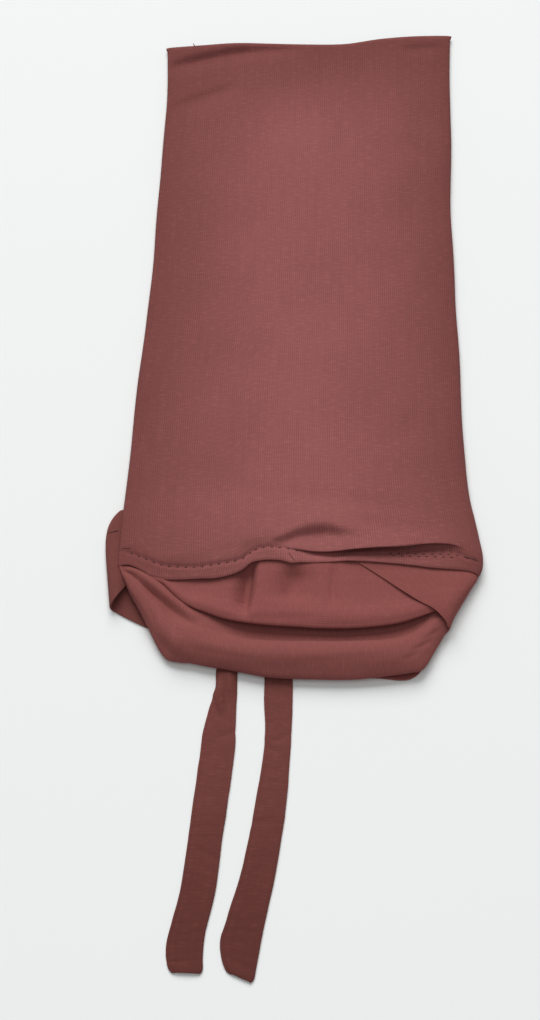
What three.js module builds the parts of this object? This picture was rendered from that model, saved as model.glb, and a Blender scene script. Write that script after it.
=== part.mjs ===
// A criss-cross underscarf cap of thin jersey, lying flat with its nape side up.
// Millimetres, +Z up. The sleeve runs along Y, and the head opening faces -Y.
// The origin is on the surface that the cap lies on, under the middle of its outline.
import * as THREE from "three";

// Driving dimensions
const JERSEY = 1.2; // wall of the sleeve, one layer of cloth with its loft
const BAND = 1.6; // the bands are folded double
const TIE = 1.6; // the ties are narrow tubes pressed flat
const GAP = 0.3; // between one piece and the next
const LENS_DENT = 1.5; // the inner band sags by this much between the hem and its free edge
const HEM_DEPTH = 11; // from the folded edge of the hem to its stitches
const HEM_EXTRA = 0.6; // the hem is thicker than the sleeve by this much
const FOLD_REACH = 5; // the lower layer turns up to the side fold over this width
const ARCH_POWER = 8; // how squarely the upper layer drops to the side folds
const FLOOR_BAND = BAND / 2; // middle of a band that lies on the surface
const UPPER_BAND = BAND * 1.5 + GAP; // middle of a band that lies on that one

// Colours of the sleeve, of the inner band's inside, of the bands and of the ties
const CLOTH_COLOUR = 0x8f5453;
const INNER_COLOUR = 0x8a4f4c;
const BAND_COLOUR = 0x8c504f;
const TIE_COLOUR = 0x693c37;
const CLOTH_ROUGHNESS = 0.95;

// The sleeve from its far end to its hem: the x of its two side folds, the height of the
// upper layer in the middle, and the height of the side folds
const SLEEVE = [
  { y: 365, left: -96, right: 123, height: 7.6, fold: 3 },
  { y: 324, left: -95, right: 122, height: 9.6, fold: 3.4 },
  { y: 237, left: -99, right: 119.5, height: 10.4, fold: 3.6 },
  { y: 140, left: -104.5, right: 119, height: 10.4, fold: 3.6 },
  { y: 60, left: -112, right: 120.5, height: 10.6, fold: 3.8 },
  { y: 10, left: -115, right: 121, height: 11.4, fold: 4.2 },
  { y: -30, left: -118.5, right: 123.5, height: 13.4, fold: 5 },
  { y: -60, left: -120.5, right: 128, height: 16, fold: 5.8 },
  { y: -92, left: -121, right: 131, height: 16.8, fold: 6.2 },
];

// The sleeve's three free edges, from left to right
const FAR_EDGE = [
  { x: -96, y: 354.5 },
  { x: -70, y: 358 },
  { x: 0, y: 359.5 },
  { x: 41, y: 360 },
  { x: 70, y: 365 },
  { x: 123, y: 369 },
];
const HEM_EDGE = [
  { x: -121, y: -84 },
  { x: -103, y: -88 },
  { x: -84, y: -95 },
  { x: -50, y: -93 },
  { x: -37, y: -90 },
  { x: -28, y: -82.5 },
  { x: -8, y: -80 },
  { x: 60, y: -81 },
  { x: 92, y: -86 },
  { x: 130, y: -91 },
];
const LOWER_EDGE = [
  { x: -121, y: -84 },
  { x: -106, y: -72 },
  { x: -84, y: -66 },
  { x: 90, y: -66 },
  { x: 112, y: -73 },
  { x: 130, y: -91 },
];

// Dents and creases of the upper layer: middle, direction in degrees from +X,
// half of the length, width to each side, and depth
const CREASES = [
  { name: "far corner", x: -62, y: 346, turn: 18, half: 34, width: 7, depth: 1.6 },
  { name: "far corner, second", x: -72, y: 308, turn: 20, half: 26, width: 8, depth: 0.9 },
  { name: "tuck over the hem", x: 54, y: -72, turn: -1, half: 62, width: 3.6, depth: 1.8 },
  { name: "dent above the tuck", x: 12, y: -57, turn: 12, half: 26, width: 6, depth: 1.3 },
  { name: "soft hollow at the right", x: 84, y: 172, turn: 70, half: 46, width: 16, depth: 0.9 },
];

// The inner band, from left to right: its free front edge, its lowest place under the hem
// and its back edge, which is sewn to the sleeve's lower layer
const INNER_BAND = [
  { x: -109, frontY: -90.5, frontZ: 9.4, sagY: -80, sagZ: 8.2, backY: -54, backZ: 3.4 },
  { x: -92, frontY: -97, frontZ: 11, sagY: -82, sagZ: 8.2, backY: -36, backZ: 2.5 },
  { x: -65, frontY: -117, frontZ: 12, sagY: -86, sagZ: 7.8, backY: -30, backZ: 2.4 },
  { x: -30, frontY: -127, frontZ: 12.5, sagY: -88, sagZ: 7.6, backY: -28, backZ: 2.4 },
  { x: 24, frontY: -130, frontZ: 12.5, sagY: -88, sagZ: 7.6, backY: -28, backZ: 2.4 },
  { x: 71, frontY: -124, frontZ: 12, sagY: -86, sagZ: 7.6, backY: -34, backZ: 2.5 },
  { x: 100, frontY: -112, frontZ: 10.6, sagY: -84, sagZ: 7.4, backY: -54, backZ: 3.2 },
];

// The left band, from its corner to its end under the flap: the edge that is tucked under the
// inner band, the crest of the roll, the front of the roll and the edge of the lower layer
const LEFT_BAND = [
  { x: -118, tuckY: -86.4, tuckZ: 7, crestY: -90, crestZ: 8, frontY: -96, frontZ: 5, backY: -90 },
  { x: -109, tuckY: -88.5, tuckZ: 6.6, crestY: -101, crestZ: 10.8, frontY: -110, frontZ: 5.4, backY: -88 },
  { x: -98, tuckY: -95, tuckZ: 7, crestY: -117, crestZ: 12.6, frontY: -130, frontZ: 6, backY: -82 },
  { x: -86, tuckY: -100, tuckZ: 7.2, crestY: -130, crestZ: 13.2, frontY: -150, frontZ: 6.2, backY: -76 },
  { x: -60, tuckY: -110, tuckZ: 7.4, crestY: -139, crestZ: 13.8, frontY: -156, frontZ: 6.4, backY: -72 },
  { x: -20, tuckY: -116, tuckZ: 7.4, crestY: -144, crestZ: 14.2, frontY: -161.5, frontZ: 6.6, backY: -72 },
  { x: 30, tuckY: -117, tuckZ: 7.4, crestY: -144, crestZ: 14.2, frontY: -163.5, frontZ: 6.6, backY: -72 },
  { x: 66, tuckY: -114, tuckZ: 7.2, crestY: -140, crestZ: 13.8, frontY: -160, frontZ: 6.6, backY: -74 },
  { x: 86, tuckY: -108, tuckZ: 6.8, crestY: -130, crestZ: 12.8, frontY: -154, frontZ: 6.4, backY: -80 },
  { x: 98, tuckY: -104, tuckZ: 5.6, crestY: -119, crestZ: 10.8, frontY: -138, frontZ: 6, backY: -88 },
  { x: 102, tuckY: -110, tuckZ: 5.6, crestY: -121, crestZ: 9.4, frontY: -131, frontZ: 5.6, backY: -92 },
];

// The right band along its length: a point on its front edge and one on its back edge
const RIGHT_BAND = [
  { place: "diagonal edge", front: [98, -124, 14.6], back: [46, -76, 10.4] },
  { place: "top of the flap", front: [101, -126, 13.8], back: [88, -78, 11.4] },
  { place: "turn at the right", front: [103.5, -128, 12], back: [118, -82, 10.4] },
  { place: "right silhouette", front: [105, -129.5, 7], back: [126.5, -89, 6.2] },
  { place: "turn under", front: [103, -131, 2], back: [123, -91, 1.8] },
  { place: "right end of the floor", front: [97, -139, FLOOR_BAND], back: [114, -79, FLOOR_BAND] },
  { place: "under the lip", front: [81, -161.5, FLOOR_BAND], back: [88, -67.5, FLOOR_BAND] },
  { place: "lip", front: [42, -162.5, FLOOR_BAND], back: [42, -67, FLOOR_BAND] },
  { place: "beside the ties", front: [6, -147, FLOOR_BAND], back: [6, -67, FLOOR_BAND] },
  { place: "between the ties", front: [-28, -146.6, FLOOR_BAND], back: [-28, -67, FLOOR_BAND] },
  { place: "beyond the ties", front: [-58, -145, FLOOR_BAND], back: [-58, -67, FLOOR_BAND] },
  { place: "left end of the floor", front: [-98, -124.5, FLOOR_BAND], back: [-92, -68.5, FLOOR_BAND] },
  { place: "under the left corner", front: [-116, -116, FLOOR_BAND], back: [-119, -89, FLOOR_BAND] },
  { place: "lower side of the wing", front: [-126, -111, FLOOR_BAND], back: [-126, -52, FLOOR_BAND] },
  { place: "left silhouette", front: [-129.6, -104, 2.9], back: [-129.6, -44, 2.9] },
  { place: "upper side of the wing", front: [-126.5, -100, 5], back: [-126.5, -40, 5] },
  { place: "seam at the sleeve", front: [-122.8, -97, 5], back: [-119.8, -37.5, 5] },
];

// Each tie from under the bands to its end: the x of its two edges
const LEFT_TIE = [
  { y: -147.6, left: -54, right: -37 },
  { y: -171, left: -54.5, right: -38 },
  { y: -191, left: -59.5, right: -39.5 },
  { y: -220, left: -63.5, right: -41 },
  { y: -269, left: -69.5, right: -47.5 },
  { y: -310, left: -75, right: -52.5 },
  { y: -345, left: -83, right: -59 },
  { y: -362.5, left: -81, right: -60 },
];
const RIGHT_TIE = [
  { y: -147.6, left: -19.5, right: -1 },
  { y: -177, left: -20.5, right: -1.5 },
  { y: -214, left: -21.5, right: -3.5 },
  { y: -245, left: -25.5, right: -5.5 },
  { y: -294, left: -34.5, right: -12.5 },
  { y: -330, left: -45, right: -20 },
  { y: -350, left: -48.5, right: -24 },
  { y: -369, left: -43.5, right: -27.5 },
];

// How finely each piece is divided
const SLEEVE_ROWS = 28;
const ROW_CROWDING = 1.5; // the rows lie closer together towards the hem
const UPPER_HALF_COLUMNS = 12;
const LOWER_STOPS = [0.986, 0.955, 0.75, 0.35];
const INNER_COLUMNS = 10;
const TUCK_STEPS = 5;
const TUCK_FLAT = 0.15; // share of the tucked part that stays low before the roll rises
const ROLL_STEPS = 8;
const BAND_ROWS_BETWEEN = 3;
const STRIP_COLUMNS = 6;
const TIE_ROWS_BETWEEN = 2;

// The value of one column of a table at a place along another, with smooth turns
function along(table, key, place, by = "y") {
  const rising = table[0][by] < table[table.length - 1][by];
  const rows = rising ? table : [...table].reverse();
  const at = THREE.MathUtils.clamp(place, rows[0][by], rows[rows.length - 1][by]);
  let i = rows.findIndex((row) => row[by] >= at) - 1;
  i = Math.max(i, 0);
  const [a, b] = [rows[i], rows[i + 1]];
  const span = b[by] - a[by];
  const slope = (p, q) => (q[key] - p[key]) / (q[by] - p[by]);
  const chord = slope(a, b);
  const startSlope = i > 0 ? (slope(rows[i - 1], a) + chord) / 2 : chord;
  const endSlope = i + 2 < rows.length ? (slope(b, rows[i + 2]) + chord) / 2 : chord;
  const t = (at - a[by]) / span;
  return (
    a[key] * (1 - t) ** 2 * (1 + 2 * t) +
    b[key] * t ** 2 * (3 - 2 * t) +
    span * t * (1 - t) * (startSlope * (1 - t) - endSlope * t)
  );
}

// How deep the creases press the upper layer in at a place
function creaseDepth(x, y) {
  return CREASES.reduce((sum, crease) => {
    const turn = THREE.MathUtils.degToRad(crease.turn);
    const dx = x - crease.x;
    const dy = y - crease.y;
    const lengthwise = dx * Math.cos(turn) + dy * Math.sin(turn);
    const across = dy * Math.cos(turn) - dx * Math.sin(turn);
    const fade = Math.exp(-((lengthwise / crease.half) ** 4));
    return sum + crease.depth * fade * Math.exp(-((across / crease.width) ** 2));
  }, 0);
}

// A closed body from two grids of points that face each other, rows by columns.
// The rows of a ring join up with themselves, and the grid's free edges are closed by rims.
function closedBody(outside, inside, ring) {
  const rows = outside.length;
  const columns = outside[0].length;
  const points = [...outside.flat(), ...inside.flat()];
  const start = rows * columns;
  const faces = [];
  const quad = (a, b, c, d) => faces.push(a, b, c, a, c, d);
  const number = (row, column) => row * columns + (column % columns);
  for (let row = 0; row < rows - 1; row++)
    for (let column = 0; column < (ring ? columns : columns - 1); column++) {
      const a = number(row, column);
      const b = number(row, column + 1);
      const c = number(row + 1, column + 1);
      const d = number(row + 1, column);
      quad(a, b, c, d);
      quad(start + d, start + c, start + b, start + a);
    }
  for (let column = 0; column < (ring ? columns : columns - 1); column++) {
    const [a, b] = [number(0, column), number(0, column + 1)];
    const [c, d] = [number(rows - 1, column), number(rows - 1, column + 1)];
    quad(a, start + a, start + b, b);
    quad(d, start + d, start + c, c);
  }
  if (!ring)
    for (let row = 0; row < rows - 1; row++) {
      const [a, b] = [number(row, 0), number(row + 1, 0)];
      const [c, d] = [number(row, columns - 1), number(row + 1, columns - 1)];
      quad(b, start + b, start + a, a);
      quad(c, start + c, start + d, d);
    }
  const geometry = new THREE.BufferGeometry().setFromPoints(points);
  geometry.setIndex(faces);
  if (signedVolume(points, faces) < 0) geometry.setIndex([...faces].reverse());
  geometry.computeVertexNormals();
  return geometry;
}

function signedVolume(points, faces) {
  let six = 0;
  for (let i = 0; i < faces.length; i += 3) {
    const [a, b, c] = [0, 1, 2].map((k) => points[faces[i + k]]);
    six += a.dot(b.clone().cross(c));
  }
  return six / 6;
}

// A sheet of cloth from a grid of points in the middle of its thickness
function sheet(grid, thickness) {
  const last = (list) => list.length - 1;
  const normals = grid.map((row, i) =>
    row.map((_, j) => {
      const down = grid[Math.min(i + 1, last(grid))][j].clone().sub(grid[Math.max(i - 1, 0)][j]);
      const over = row[Math.min(j + 1, last(row))].clone().sub(row[Math.max(j - 1, 0)]);
      return over.cross(down).normalize();
    }),
  );
  const offset = (by) =>
    grid.map((row, i) => row.map((p, j) => p.clone().addScaledVector(normals[i][j], by)));
  return closedBody(offset(thickness / 2), offset(-thickness / 2), false);
}

// The sleeve: each row is one ring, over the upper layer from left to right and back below.
// A place on a ring is given by s, from -1 at the left side fold to 1 at the right one.
function sleeve() {
  const upper = [];
  for (let k = -UPPER_HALF_COLUMNS; k <= UPPER_HALF_COLUMNS; k++)
    upper.push({ s: Math.sin((Math.PI * k) / (2 * UPPER_HALF_COLUMNS)), top: true });
  const lower = [...LOWER_STOPS, 0, ...LOWER_STOPS.map((s) => -s).reverse()];
  const ring = [...upper, ...lower.map((s) => ({ s, top: false }))];
  const outside = [];
  const inside = [];
  for (let row = 0; row <= SLEEVE_ROWS; row++) {
    const t = 1 - (1 - row / SLEEVE_ROWS) ** ROW_CROWDING;
    const points = ring.map(({ s, top }) => sleevePoint(s, t, top));
    outside.push(points);
    inside.push(points.map((p, j) => innerPoint(points, j, ring[j].top)));
  }
  return closedBody(outside, inside, true);
}

function sleevePoint(s, t, top) {
  const halfWidth = (y) => (along(SLEEVE, "right", y) - along(SLEEVE, "left", y)) / 2;
  const sideways = (y) => along(SLEEVE, "left", y) + (1 + s) * halfWidth(y);
  const roughX = sideways(THREE.MathUtils.lerp(SLEEVE[0].y, SLEEVE[SLEEVE.length - 1].y, t));
  const farY = along(FAR_EDGE, "y", roughX, "x");
  const nearY = along(top ? HEM_EDGE : LOWER_EDGE, "y", roughX, "x");
  const y = THREE.MathUtils.lerp(farY, nearY, t);
  const x = sideways(y);
  const fold = along(SLEEVE, "fold", y);
  const arch = Math.sqrt(Math.max(0, 1 - Math.abs(s) ** ARCH_POWER));
  const rise = along(SLEEVE, "height", y) - fold - creaseDepth(x, y);
  const turnUp = Math.max(0, 1 - ((1 - Math.abs(s)) * halfWidth(y)) / FOLD_REACH);
  const lowerZ = fold * (1 - Math.sqrt(1 - turnUp ** 2));
  return new THREE.Vector3(x, y, top ? fold + rise * arch : lowerZ);
}

// The point of the inner face that lies straight behind a point of a ring
function innerPoint(points, j, top) {
  const before = points[(j + points.length - 1) % points.length];
  const after = points[(j + 1) % points.length];
  const inwards = new THREE.Vector3(after.z - before.z, 0, before.x - after.x).normalize();
  const toHem = points[j].y - along(HEM_EDGE, "y", points[j].x, "x");
  const wall = top && toHem < HEM_DEPTH ? JERSEY + HEM_EXTRA : JERSEY;
  return points[j].clone().addScaledVector(inwards, wall);
}

// A grid over the sections of a band, which are joined by a smooth curve along each column
function bandGrid(table, sectionPoints) {
  const sections = table.map(sectionPoints);
  const columns = sections[0].map((_, j) => new THREE.CatmullRomCurve3(sections.map((s) => s[j])));
  const rows = (table.length - 1) * BAND_ROWS_BETWEEN;
  return Array.from({ length: rows + 1 }, (_, i) => columns.map((c) => c.getPoint(i / rows)));
}

function innerBand() {
  const section = (row) => {
    const free = new THREE.Vector3(row.x, row.frontY, row.frontZ);
    const sag = new THREE.Vector3(row.x, row.sagY, row.sagZ);
    const sewn = new THREE.Vector3(row.x, row.backY, row.backZ);
    const dent = free.clone().lerp(sag, 0.5);
    dent.z -= LENS_DENT;
    const slope = sag.clone().lerp(sewn, 0.5);
    return new THREE.CatmullRomCurve3([free, dent, sag, slope, sewn]).getPoints(INNER_COLUMNS);
  };
  return sheet(bandGrid(INNER_BAND, section), BAND);
}

function leftBand() {
  const section = (row) => {
    const rise = Array.from({ length: TUCK_STEPS }, (_, i) => {
      const t = i / TUCK_STEPS;
      const y = THREE.MathUtils.lerp(row.tuckY, row.crestY, t);
      const z = THREE.MathUtils.lerp(row.tuckZ, row.crestZ, THREE.MathUtils.smoothstep(t, TUCK_FLAT, 1));
      return new THREE.Vector3(row.x, y, z);
    });
    const roll = Array.from({ length: ROLL_STEPS + 1 }, (_, i) => {
      const turn = (Math.PI / 2) * (1 - (2 * i) / ROLL_STEPS);
      const upper = turn > 0;
      const radius = row.frontZ - UPPER_BAND;
      const deep = upper ? row.crestY - row.frontY : radius;
      const tall = upper ? row.crestZ - row.frontZ : radius;
      const y = row.frontY + deep * (1 - Math.cos(turn));
      return new THREE.Vector3(row.x, y, row.frontZ + tall * Math.sin(turn));
    });
    const end = roll[ROLL_STEPS].y;
    const under = [1 / 3, 2 / 3, 1].map(
      (t) => new THREE.Vector3(row.x, THREE.MathUtils.lerp(end, row.backY, t), UPPER_BAND),
    );
    return [...rise, ...roll, ...under];
  };
  return sheet(bandGrid(LEFT_BAND, section), BAND);
}

function rightBand() {
  const edge = (key) => new THREE.CatmullRomCurve3(RIGHT_BAND.map((row) => new THREE.Vector3(...row[key])));
  const front = edge("front");
  const back = edge("back");
  const rows = (RIGHT_BAND.length - 1) * BAND_ROWS_BETWEEN;
  const grid = Array.from({ length: rows + 1 }, (_, i) => {
    const [a, b] = [front, back].map((curve) => curve.getPoint(i / rows));
    for (const p of [a, b]) p.z = Math.max(p.z, FLOOR_BAND);
    return Array.from({ length: STRIP_COLUMNS + 1 }, (_, j) => a.clone().lerp(b, j / STRIP_COLUMNS));
  });
  return sheet(grid, BAND);
}

function tie(table) {
  const rows = (table.length - 1) * TIE_ROWS_BETWEEN;
  const startY = table[0].y;
  const endY = table[table.length - 1].y;
  const grid = Array.from({ length: rows + 1 }, (_, i) => {
    const y = THREE.MathUtils.lerp(startY, endY, i / rows);
    const left = along(table, "left", y);
    const right = along(table, "right", y);
    return [left, (left + right) / 2, right].map((x) => new THREE.Vector3(x, y, TIE / 2));
  });
  return sheet(grid, TIE);
}

function piece(name, geometry, color) {
  const material = new THREE.MeshStandardMaterial({ color, roughness: CLOTH_ROUGHNESS, metalness: 0 });
  const mesh = new THREE.Mesh(geometry, material);
  mesh.name = name;
  return mesh;
}

const cap = new THREE.Group();
cap.name = "criss_cross_underscarf_cap";
cap.add(piece("crown_sleeve", sleeve(), CLOTH_COLOUR));
cap.add(piece("band_inner", innerBand(), INNER_COLOUR));
cap.add(piece("band_left", leftBand(), BAND_COLOUR));
cap.add(piece("band_right", rightBand(), BAND_COLOUR));
cap.add(piece("tie_left", tie(LEFT_TIE), TIE_COLOUR));
cap.add(piece("tie_right", tie(RIGHT_TIE), TIE_COLOUR));

export default cap;
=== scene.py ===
import math

import bpy
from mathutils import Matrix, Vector, noise


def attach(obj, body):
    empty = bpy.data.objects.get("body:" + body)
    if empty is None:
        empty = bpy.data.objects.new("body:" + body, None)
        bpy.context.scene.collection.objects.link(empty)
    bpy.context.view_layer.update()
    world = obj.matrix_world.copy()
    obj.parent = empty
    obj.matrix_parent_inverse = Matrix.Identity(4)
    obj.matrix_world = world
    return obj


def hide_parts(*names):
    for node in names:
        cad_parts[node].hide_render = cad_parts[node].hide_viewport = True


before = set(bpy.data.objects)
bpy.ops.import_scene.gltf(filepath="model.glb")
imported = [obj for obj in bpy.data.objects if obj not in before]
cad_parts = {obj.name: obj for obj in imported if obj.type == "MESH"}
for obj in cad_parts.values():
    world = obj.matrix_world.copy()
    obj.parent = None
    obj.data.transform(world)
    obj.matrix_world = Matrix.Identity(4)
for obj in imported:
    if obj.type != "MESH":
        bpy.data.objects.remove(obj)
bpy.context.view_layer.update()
MM = 0.001

# The surface, the light and the camera.
# A pale matt table under soft daylight from above and from the far side, so that every roll of
# cloth darkens towards the viewer. The camera looks along +Y from 65 degrees above the table.
CAMERA_LENS = 80
CAMERA_RISE = math.radians(65)
CAMERA_DISTANCE = 1592 * MM
LOOK_AT = Vector((-16.5, -35, 0)) * MM
TABLE_SIDE = 12
TABLE_COLOUR = "f5f7f6"
TABLE_GRAIN = 16.667 * MM
TABLE_RELIEF = 0.2 * MM
SKY_COLOUR = "eef3f3"
SKY_STRENGTH = 0.22
# Each light: place in metres, side in metres, power in watts
LIGHTS = (
    ((-0.75, 5.55, 5.475), 6, 598),
    ((0.1, -0.9, 3.4), 2.4, 25),
)


def linear(hex_colour):
    """An sRGB hex colour as linear red, green, blue and alpha."""
    parts = [int(hex_colour[i : i + 2], 16) / 255 for i in (0, 2, 4)]
    return [c / 12.92 if c <= 0.04045 else ((c + 0.055) / 1.055) ** 2.4 for c in parts] + [1]


def node(tree, kind, links=(), **settings):
    """Adds a node with its settings, and each of links as (socket, value or another socket)."""
    made = tree.nodes.new(kind)
    for key, value in settings.items():
        setattr(made, key, value)
    for socket, value in links:
        if isinstance(value, bpy.types.NodeSocket):
            tree.links.new(value, made.inputs[socket])
        else:
            made.inputs[socket].default_value = value
    return made


def new_material(name):
    material = bpy.data.materials.new(name)
    material.use_nodes = True
    material.node_tree.nodes.clear()
    return material, material.node_tree


bpy.ops.object.select_all(action="DESELECT")
bpy.context.scene.view_settings.view_transform = "Standard"
bpy.ops.mesh.primitive_plane_add(size=TABLE_SIDE)
table_top = bpy.context.object
table_top.name = "table_top"
# A matt laminate: the eye sees an even pale surface with no gloss, which takes soft shadows
table_material, tree = new_material("pale_matt_laminate")
place = node(tree, "ShaderNodeTexCoord")
spots = [("Vector", place.outputs["Object"]), ("Scale", 1 / TABLE_GRAIN), ("Detail", 3)]
grain = node(tree, "ShaderNodeTexNoise", spots)
relief = [("Strength", 0.05), ("Distance", TABLE_RELIEF), ("Height", grain.outputs["Fac"])]
fine = node(tree, "ShaderNodeBump", relief)
shader = node(
    tree,
    "ShaderNodeBsdfPrincipled",
    [("Base Color", linear(TABLE_COLOUR)), ("Roughness", 0.8), ("Normal", fine.outputs["Normal"])],
)
shader.inputs["Specular IOR Level"].default_value = 0.2
node(tree, "ShaderNodeOutputMaterial", [("Surface", shader.outputs["BSDF"])])
table_top.data.materials.append(table_material)

world = bpy.data.worlds.new("soft_daylight")
bpy.context.scene.world = world
world.use_nodes = True
sky = world.node_tree.nodes["Background"]
sky.inputs["Color"].default_value = linear(SKY_COLOUR)
sky.inputs["Strength"].default_value = SKY_STRENGTH
for light_place, side, power in LIGHTS:
    bpy.ops.object.light_add(type="AREA", location=light_place)
    lamp = bpy.context.object
    lamp.data.size = side
    lamp.data.energy = power
    lamp.rotation_euler = (-Vector(light_place)).to_track_quat("-Z", "Y").to_euler()

back = Vector((0, -math.cos(CAMERA_RISE), math.sin(CAMERA_RISE)))
bpy.ops.object.camera_add(location=LOOK_AT + back * CAMERA_DISTANCE)
camera = bpy.context.object
camera.rotation_euler = (math.pi / 2 - CAMERA_RISE, 0, 0)
camera.data.lens = CAMERA_LENS
bpy.context.scene.camera = camera

# The sleeve of the cap.
# A long tube of single viscose jersey, laid flat. Its far end is cut and curls down a little, and
# its near end is turned in and stitched as a hem. The upper layer has a tuck that hangs over the hem.
SLEEVE_WALL = 0.8
HEM_RADIUS = 0.6
HEM_SINK = 3.2
HEM_TURNED_ROWS = 9
HEM_TURN_STEPS = 5
UPPER_COLUMNS = 190
LOWER_COLUMNS = 40
# Share of the sleeve's length from the far edge, and how many rows of faces reach it
ROW_SHARES = ((0.135, 36), (0.855, 48), (1, 84))
# How much closer the upper layer's columns stand at the sides, from 0 for even to 1
COLUMN_CROWDING = 0.55
ARCH_POWER = 8
FOLD_REACH = 7
FAR_CURL = 4
FAR_CURL_DROP = 2.6
FAR_FLARE = 1.2
FAR_FLARE_REACH = 2.5
HEM_CURL = 1.4
HEM_CURL_DROP = 0.5
HEM_SINK_REACH = 17
# The sides wander a little along the sleeve, and the upper layer swells: size and height of each.
# The swells fade out towards the hem.
SIDE_WANDER = (60, 1.2)
SWELLS = ((90, 0.9), (34, 0.45))
SWELL_FROM_HEM = (-14, 26)
# The bands lift the lower layer's left side. This is where the lift begins and where it is full.
LIFT_REACH = (18, 6)
# Cuts across the sleeve from its far end: its sides, the height of its upper layer and of its side
# folds, and how far the lower layer's left side is held up by the bands under it
SLEEVE = [
    dict(y=369, left=-96, right=123.4, height=8.6, left_fold=3, right_fold=3, lift=0),
    dict(y=324, left=-95, right=122, height=9.6, left_fold=3.4, right_fold=3.4, lift=0),
    dict(y=237, left=-99, right=119.5, height=10.4, left_fold=3.6, right_fold=3.6, lift=0),
    dict(y=140, left=-104.5, right=119, height=10.4, left_fold=3.6, right_fold=3.6, lift=0),
    dict(y=60, left=-112, right=120.5, height=10.6, left_fold=3.8, right_fold=3.8, lift=0),
    dict(y=10, left=-115, right=121, height=11.4, left_fold=4.4, right_fold=4.2, lift=0),
    dict(y=-28, left=-118.5, right=123.5, height=13.4, left_fold=6.6, right_fold=5, lift=2.6),
    dict(y=-45, left=-119.8, right=126.6, height=14.8, left_fold=8.8, right_fold=5.4, lift=5.6),
    dict(y=-60, left=-120.5, right=129.2, height=15.8, left_fold=9, right_fold=5.8, lift=5.8),
    dict(y=-75, left=-121, right=131.2, height=16, left_fold=9, right_fold=6.6, lift=6),
    dict(y=-84, left=-121, right=130.2, height=16.2, left_fold=9, right_fold=7, lift=6),
    dict(y=-92, left=-121, right=126.4, height=16.2, left_fold=9, right_fold=7, lift=6),
]
# The free edges from left to right: the far end, the hem's fold, and the lower layer under the hem
FAR_EDGE = [
    dict(x=x, y=y)
    for x, y in (
        (-96, 357.4), (-84, 357.6), (-70, 358.4), (-40, 360.6), (0, 359.8), (41, 360), (70, 365),
        (123, 369),
    )
]
HEM_EDGE = [
    dict(x=x, y=y)
    for x, y in (
        (-121, -81.5), (-114, -81.3), (-110.8, -82.4), (-104.5, -86.2), (-98.9, -89.9),
        (-92, -92.3), (-81.7, -93), (-64.5, -92.2), (-54.2, -91.8), (-42, -88.6), (-36, -85),
        (-31.4, -80.4), (-24.8, -78.3), (-16.5, -77.9), (-9.6, -78.6), (-4.1, -80.3), (1, -79.6),
        (18, -79), (38.6, -78.9), (59.2, -80.5), (79.8, -82.7), (94.2, -84.4), (107.4, -85.2),
        (119, -86.2), (127, -88.4),
    )
]
LOWER_EDGE = [
    dict(x=x, y=y)
    for x, y in (
        (-121, -81.5), (-106, -72), (-84, -66), (90, -66), (112, -73), (127, -88.4),
    )
]
# The tuck: the cloth above its line is pushed over the cloth below it. y of the line at each x,
# the push, how much the upper lip rises and the cloth under it drops, and how far from the line
# that is most above it and under it
TUCK = [
    dict(x=-8, y=-70.4, push=0, rise=0, drop=0, above=4, under=2),
    dict(x=1, y=-70.8, push=1.6, rise=0.5, drop=0.8, above=4, under=2),
    dict(x=12, y=-71, push=3.6, rise=1.1, drop=2, above=4, under=2.2),
    dict(x=28, y=-70.4, push=5.2, rise=1.7, drop=5, above=4, under=3),
    dict(x=45, y=-69.2, push=6.1, rise=2.2, drop=6.2, above=4, under=3.4),
    dict(x=58, y=-68.6, push=6.2, rise=2.2, drop=5.8, above=4, under=4),
    dict(x=75, y=-68, push=6, rise=2, drop=4.6, above=4, under=5),
    dict(x=91, y=-67, push=5, rise=2, drop=3.8, above=4, under=5.6),
    dict(x=105, y=-67.6, push=3.6, rise=1.3, drop=2.6, above=4, under=5.6),
    dict(x=114, y=-69.6, push=1.8, rise=0.5, drop=0.9, above=4, under=5),
    dict(x=121, y=-71, push=0, rise=0, drop=0, above=4, under=4),
]
# A bent dent above the tuck: y of its bottom at each x, its depth, and its width on each side
DENT = [
    dict(x=-16, y=-67, depth=0, far=2.4, near=4),
    dict(x=-8, y=-65, depth=3.2, far=2.6, near=6),
    dict(x=1, y=-61.6, depth=4.4, far=3.6, near=12),
    dict(x=14, y=-59, depth=6, far=4.6, near=20),
    dict(x=23, y=-58.6, depth=5.8, far=4.6, near=20),
    dict(x=30, y=-60, depth=4.4, far=4.2, near=18),
    dict(x=39, y=-61.2, depth=2.2, far=4, near=11),
    dict(x=58, y=-62, depth=0, far=3.6, near=6),
]
# Soft creases of the upper layer: middle, direction in degrees from +X, half of the length, width
# on the far and the near side of the crease's line, and depth
CREASES = [
    dict(x=-66, y=345.5, turn=14, half=36, far=3.4, near=9, depth=3.7),
    dict(x=-16, y=353.5, turn=5, half=26, far=2.8, near=7, depth=2.2),
    dict(x=-68, y=308, turn=21, half=26, far=4.4, near=10, depth=1.7),
    dict(x=102, y=355, turn=6, half=16, far=3, near=7, depth=1.5),
    dict(x=94, y=262, turn=-28, half=15, far=5, near=9, depth=1.2),
    dict(x=88, y=205, turn=80, half=40, far=8, near=8, depth=0.7),
    dict(x=84, y=168, turn=35, half=14, far=4, near=8, depth=1),
    dict(x=74, y=20, turn=30, half=20, far=5, near=10, depth=0.8),
    dict(x=-70, y=-20, turn=12, half=60, far=14, near=18, depth=0.8),
    dict(x=30, y=-34, turn=-8, half=70, far=8, near=12, depth=0.8),
    dict(x=64, y=-54, turn=-6, half=30, far=6, near=9, depth=0.9),
    dict(x=-50, y=-74, turn=14, half=34, far=4, near=8, depth=0.6),
]
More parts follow.
